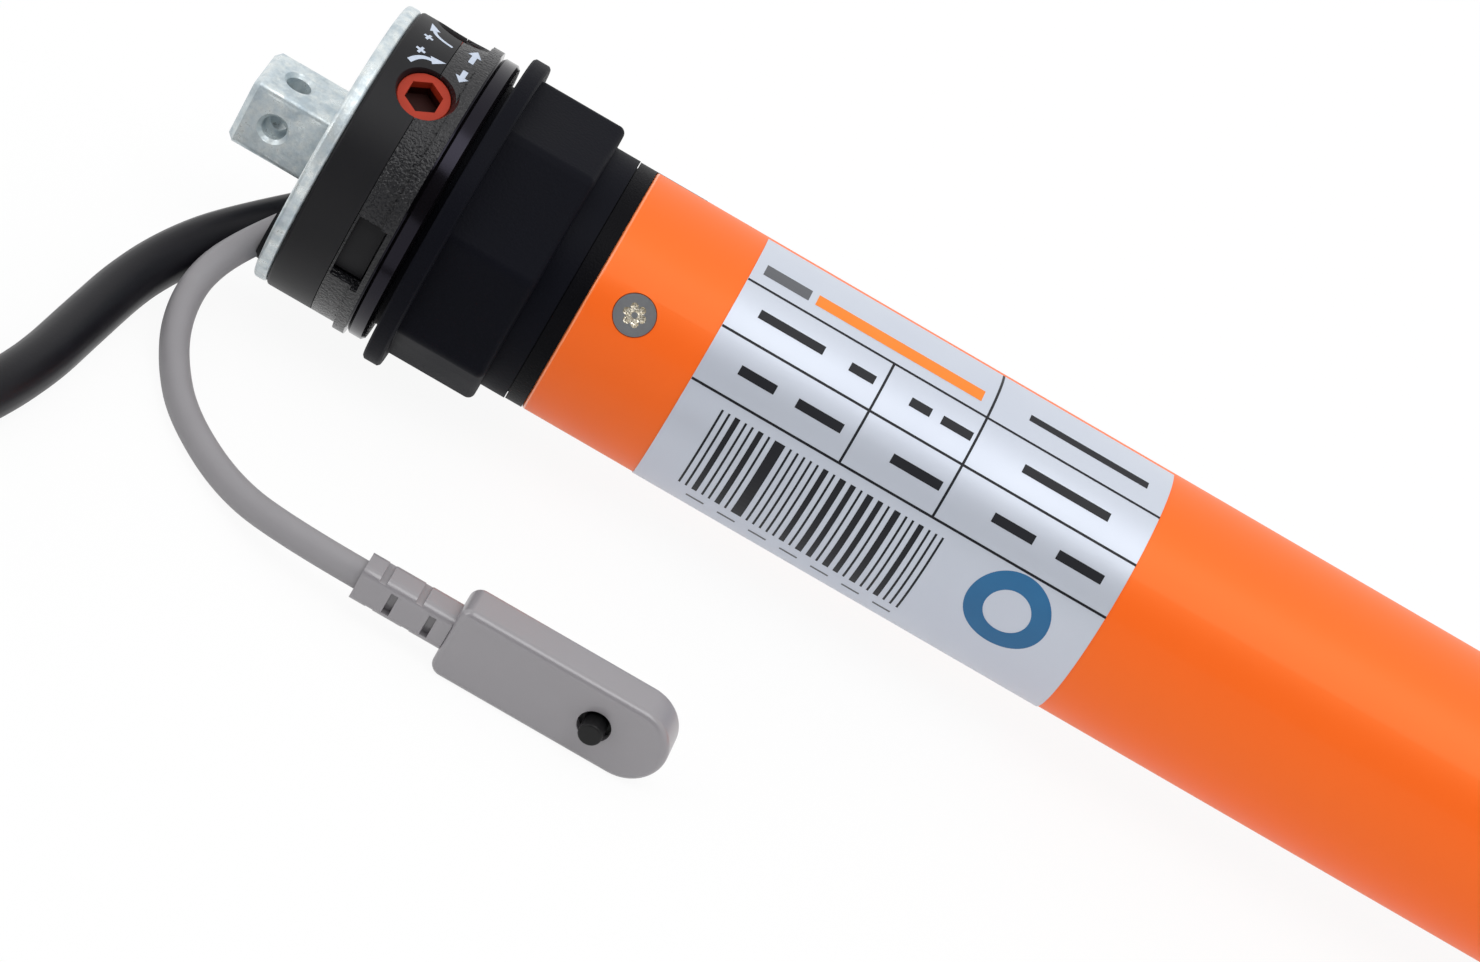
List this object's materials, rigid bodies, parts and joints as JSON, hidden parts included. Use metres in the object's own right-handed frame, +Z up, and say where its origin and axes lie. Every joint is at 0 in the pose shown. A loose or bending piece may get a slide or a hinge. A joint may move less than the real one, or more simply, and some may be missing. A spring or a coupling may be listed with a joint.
{
  "type": "tubular roller blind motor",
  "caption": "Tubular roller blind motor with square pin, limit screws, octagonal crown and drive wheel, setting switch lead and coiled mains lead",
  "frame": {"origin": "on the table under the middle of the motor, leads left out", "axes": "+X along the motor axis from the square pin to the drive wheel, +Z up, -Y towards the setting switch"},
  "size_m": [0.566, 0.1436, 0.0444],
  "materials": {
    "zinc_plated_steel": "zinc plated, satin",
    "black_smooth_plastic": "smooth black",
    "black_grained_plastic": "fine grain, black",
    "black_gloss_plastic": "glossy black",
    "orange_lacquer": "smooth orange lacquer",
    "silver_foil": "printed silver foil",
    "red_plastic": "red",
    "screw_steel": "bright screw steel",
    "black_rubber": "black lead",
    "grey_pvc": "grey",
    "grey_moulding": "grey, slightly soft",
    "core_insulation": "coloured insulation",
    "lamination_steel": "laminated",
    "copper_winding": "enamelled copper",
    "gear_steel": "sintered steel",
    "gear_plastic": "natural acetal",
    "cast_zinc": "die cast",
    "circuit_board": "green board",
    "component_black": "black housings",
    "capacitor_can": "aluminium can",
    "bronze": "sintered bronze",
    "friction_lining": "friction lining",
    "spring_steel": "spring steel"
  },
  "bodies": {
    "motor_body": {"square_pin": "zinc_plated_steel", "mounting_plate": "zinc_plated_steel", "plate_screws": "screw_steel", "cable_grommet": "black_rubber", "head_cover": "black_smooth_plastic", "head_housing": "black_grained_plastic", "head_screws": "screw_steel", "limit_switches": "component_black", "limit_nuts": "gear_plastic", "bearing_sleeve": "black_gloss_plastic", "motor_tube": "orange_lacquer", "rating_label": "silver_foil", "tube_screws": "screw_steel", "board_tray": "component_black", "receiver_board": "circuit_board", "terminal_block": "component_black", "capacitor": "capacitor_can", "brake_housing": "lamination_steel", "brake_coil": "copper_winding", "end_shields": "cast_zinc", "rotor_bearings": "bronze", "stator_core": "lamination_steel", "stator_windings": "copper_winding", "gearbox_housing": "gear_steel", "output_bush": "bronze", "end_cap": "cast_zinc", "setting_cord": "grey_pvc", "mains_cord": "black_rubber", "mains_coil": "black_rubber", "mains_coil_tie": "black_smooth_plastic", "mains_core_ends": "core_insulation", "switch_body": "grey_moulding", "switch_back_cover": "grey_moulding", "switch_board": "circuit_board", "switch_strain_relief": "grey_moulding"},
    "crown": {"limit_ring": "black_smooth_plastic", "crown_adapter": "black_smooth_plastic"},
    "limit_spindle_front": {"limit_spindle_front": "gear_plastic"},
    "limit_spindle_rear": {"limit_spindle_rear": "gear_plastic"},
    "limit_screw_front": {"limit_screw_front": "red_plastic"},
    "limit_screw_rear": {"limit_screw_rear": "red_plastic"},
    "brake_armature": {"brake_armature": "lamination_steel", "brake_spring": "spring_steel"},
    "rotor": {"rotor": "lamination_steel", "brake_disc": "friction_lining"},
    "carrier_one": {"carrier_one": "gear_steel"},
    "carrier_two": {"carrier_two": "gear_steel"},
    "output": {"carrier_three": "gear_steel", "drive_wheel": "black_smooth_plastic", "shaft_clip": "spring_steel"},
    "set_button": {"set_button": "black_smooth_plastic"},
    "planet_one_a": {"planet_one_a": "gear_plastic"},
    "planet_one_b": {"planet_one_b": "gear_plastic"},
    "planet_one_c": {"planet_one_c": "gear_plastic"},
    "planet_two_a": {"planet_two_a": "gear_steel"},
    "planet_two_b": {"planet_two_b": "gear_steel"},
    "planet_two_c": {"planet_two_c": "gear_steel"},
    "planet_three_a": {"planet_three_a": "gear_steel"},
    "planet_three_b": {"planet_three_b": "gear_steel"},
    "planet_three_c": {"planet_three_c": "gear_steel"}
  },
  "joints": [
    {"name": "crown_turn", "type": "hinge", "parent": "motor_body", "child": "crown", "pos_m": [-0.19176, 0, 0.0222], "axis": [1, 0, 0], "continuous": true},
    {"name": "limit_spindle_front_turn", "type": "hinge", "parent": "motor_body", "child": "limit_spindle_front", "pos_m": [-0.19936, -0.00507, 0.03308], "axis": [1, 0, 0], "continuous": true},
    {"name": "limit_spindle_rear_turn", "type": "hinge", "parent": "motor_body", "child": "limit_spindle_rear", "pos_m": [-0.19936, 0.00507, 0.03308], "axis": [1, 0, 0], "continuous": true},
    {"name": "limit_screw_front_turn", "type": "hinge", "parent": "motor_body", "child": "limit_screw_front", "pos_m": [-0.20336, -0.00807, 0.03951], "axis": [0, -0.4226, 0.9063], "continuous": true},
    {"name": "limit_screw_rear_turn", "type": "hinge", "parent": "motor_body", "child": "limit_screw_rear", "pos_m": [-0.20336, 0.00807, 0.03951], "axis": [0, 0.4226, 0.9063], "continuous": true},
    {"name": "brake_armature_slide", "type": "slide", "parent": "motor_body", "child": "brake_armature", "axis": [-1, 0, 0], "range_m": [0, 0.0004], "stiffness_N_per_m": 8000},
    {"name": "rotor_turn", "type": "hinge", "parent": "motor_body", "child": "rotor", "pos_m": [0.01866, 0, 0.0222], "axis": [1, 0, 0], "continuous": true},
    {"name": "carrier_one_turn", "type": "hinge", "parent": "motor_body", "child": "carrier_one", "pos_m": [0.12736, 0, 0.0222], "axis": [1, 0, 0], "continuous": true},
    {"name": "carrier_two_turn", "type": "hinge", "parent": "motor_body", "child": "carrier_two", "pos_m": [0.14156, 0, 0.0222], "axis": [1, 0, 0], "continuous": true},
    {"name": "output_turn", "type": "hinge", "parent": "motor_body", "child": "output", "pos_m": [0.20116, 0, 0.0222], "axis": [1, 0, 0], "continuous": true},
    {"name": "planet_one_a_turn", "type": "hinge", "parent": "carrier_one", "child": "planet_one_a", "pos_m": [0.12736, 0.0084, 0.0222], "axis": [1, 0, 0], "continuous": true},
    {"name": "planet_one_b_turn", "type": "hinge", "parent": "carrier_one", "child": "planet_one_b", "pos_m": [0.12736, -0.0042, 0.02947], "axis": [1, 0, 0], "continuous": true},
    {"name": "planet_one_c_turn", "type": "hinge", "parent": "carrier_one", "child": "planet_one_c", "pos_m": [0.12736, -0.0042, 0.01493], "axis": [1, 0, 0], "continuous": true},
    {"name": "planet_two_a_turn", "type": "hinge", "parent": "carrier_two", "child": "planet_two_a", "pos_m": [0.14156, 0.0084, 0.0222], "axis": [1, 0, 0], "continuous": true},
    {"name": "planet_two_b_turn", "type": "hinge", "parent": "carrier_two", "child": "planet_two_b", "pos_m": [0.14156, -0.0042, 0.02947], "axis": [1, 0, 0], "continuous": true},
    {"name": "planet_two_c_turn", "type": "hinge", "parent": "carrier_two", "child": "planet_two_c", "pos_m": [0.14156, -0.0042, 0.01493], "axis": [1, 0, 0], "continuous": true},
    {"name": "planet_three_a_turn", "type": "hinge", "parent": "output", "child": "planet_three_a", "pos_m": [0.15576, 0.0084, 0.0222], "axis": [1, 0, 0], "continuous": true},
    {"name": "planet_three_b_turn", "type": "hinge", "parent": "output", "child": "planet_three_b", "pos_m": [0.15576, -0.0042, 0.02947], "axis": [1, 0, 0], "continuous": true},
    {"name": "planet_three_c_turn", "type": "hinge", "parent": "output", "child": "planet_three_c", "pos_m": [0.15576, -0.0042, 0.01493], "axis": [1, 0, 0], "continuous": true},
    {"name": "set_button_press", "type": "slide", "parent": "motor_body", "child": "set_button", "axis": [0, 1, 0], "range_m": [0, 0.0008], "stiffness_N_per_m": 1500}
  ],
  "couplings": [
    {"joint": "limit_spindle_front_turn", "follows": "crown_turn", "ratio": 4},
    {"joint": "limit_spindle_rear_turn", "follows": "crown_turn", "ratio": 4},
    {"joint": "rotor_turn", "follows": "carrier_one_turn", "ratio": 5.3333},
    {"joint": "carrier_two_turn", "follows": "carrier_one_turn", "ratio": 0.1875},
    {"joint": "output_turn", "follows": "carrier_one_turn", "ratio": 0.035156},
    {"joint": "planet_one_a_turn", "follows": "carrier_one_turn", "ratio": -2.6},
    {"joint": "planet_one_b_turn", "follows": "carrier_one_turn", "ratio": -2.6},
    {"joint": "planet_one_c_turn", "follows": "carrier_one_turn", "ratio": -2.6},
    {"joint": "planet_two_a_turn", "follows": "carrier_one_turn", "ratio": -0.4875},
    {"joint": "planet_two_b_turn", "follows": "carrier_one_turn", "ratio": -0.4875},
    {"joint": "planet_two_c_turn", "follows": "carrier_one_turn", "ratio": -0.4875},
    {"joint": "planet_three_a_turn", "follows": "carrier_one_turn", "ratio": -0.091406},
    {"joint": "planet_three_b_turn", "follows": "carrier_one_turn", "ratio": -0.091406},
    {"joint": "planet_three_c_turn", "follows": "carrier_one_turn", "ratio": -0.091406}
  ]
}
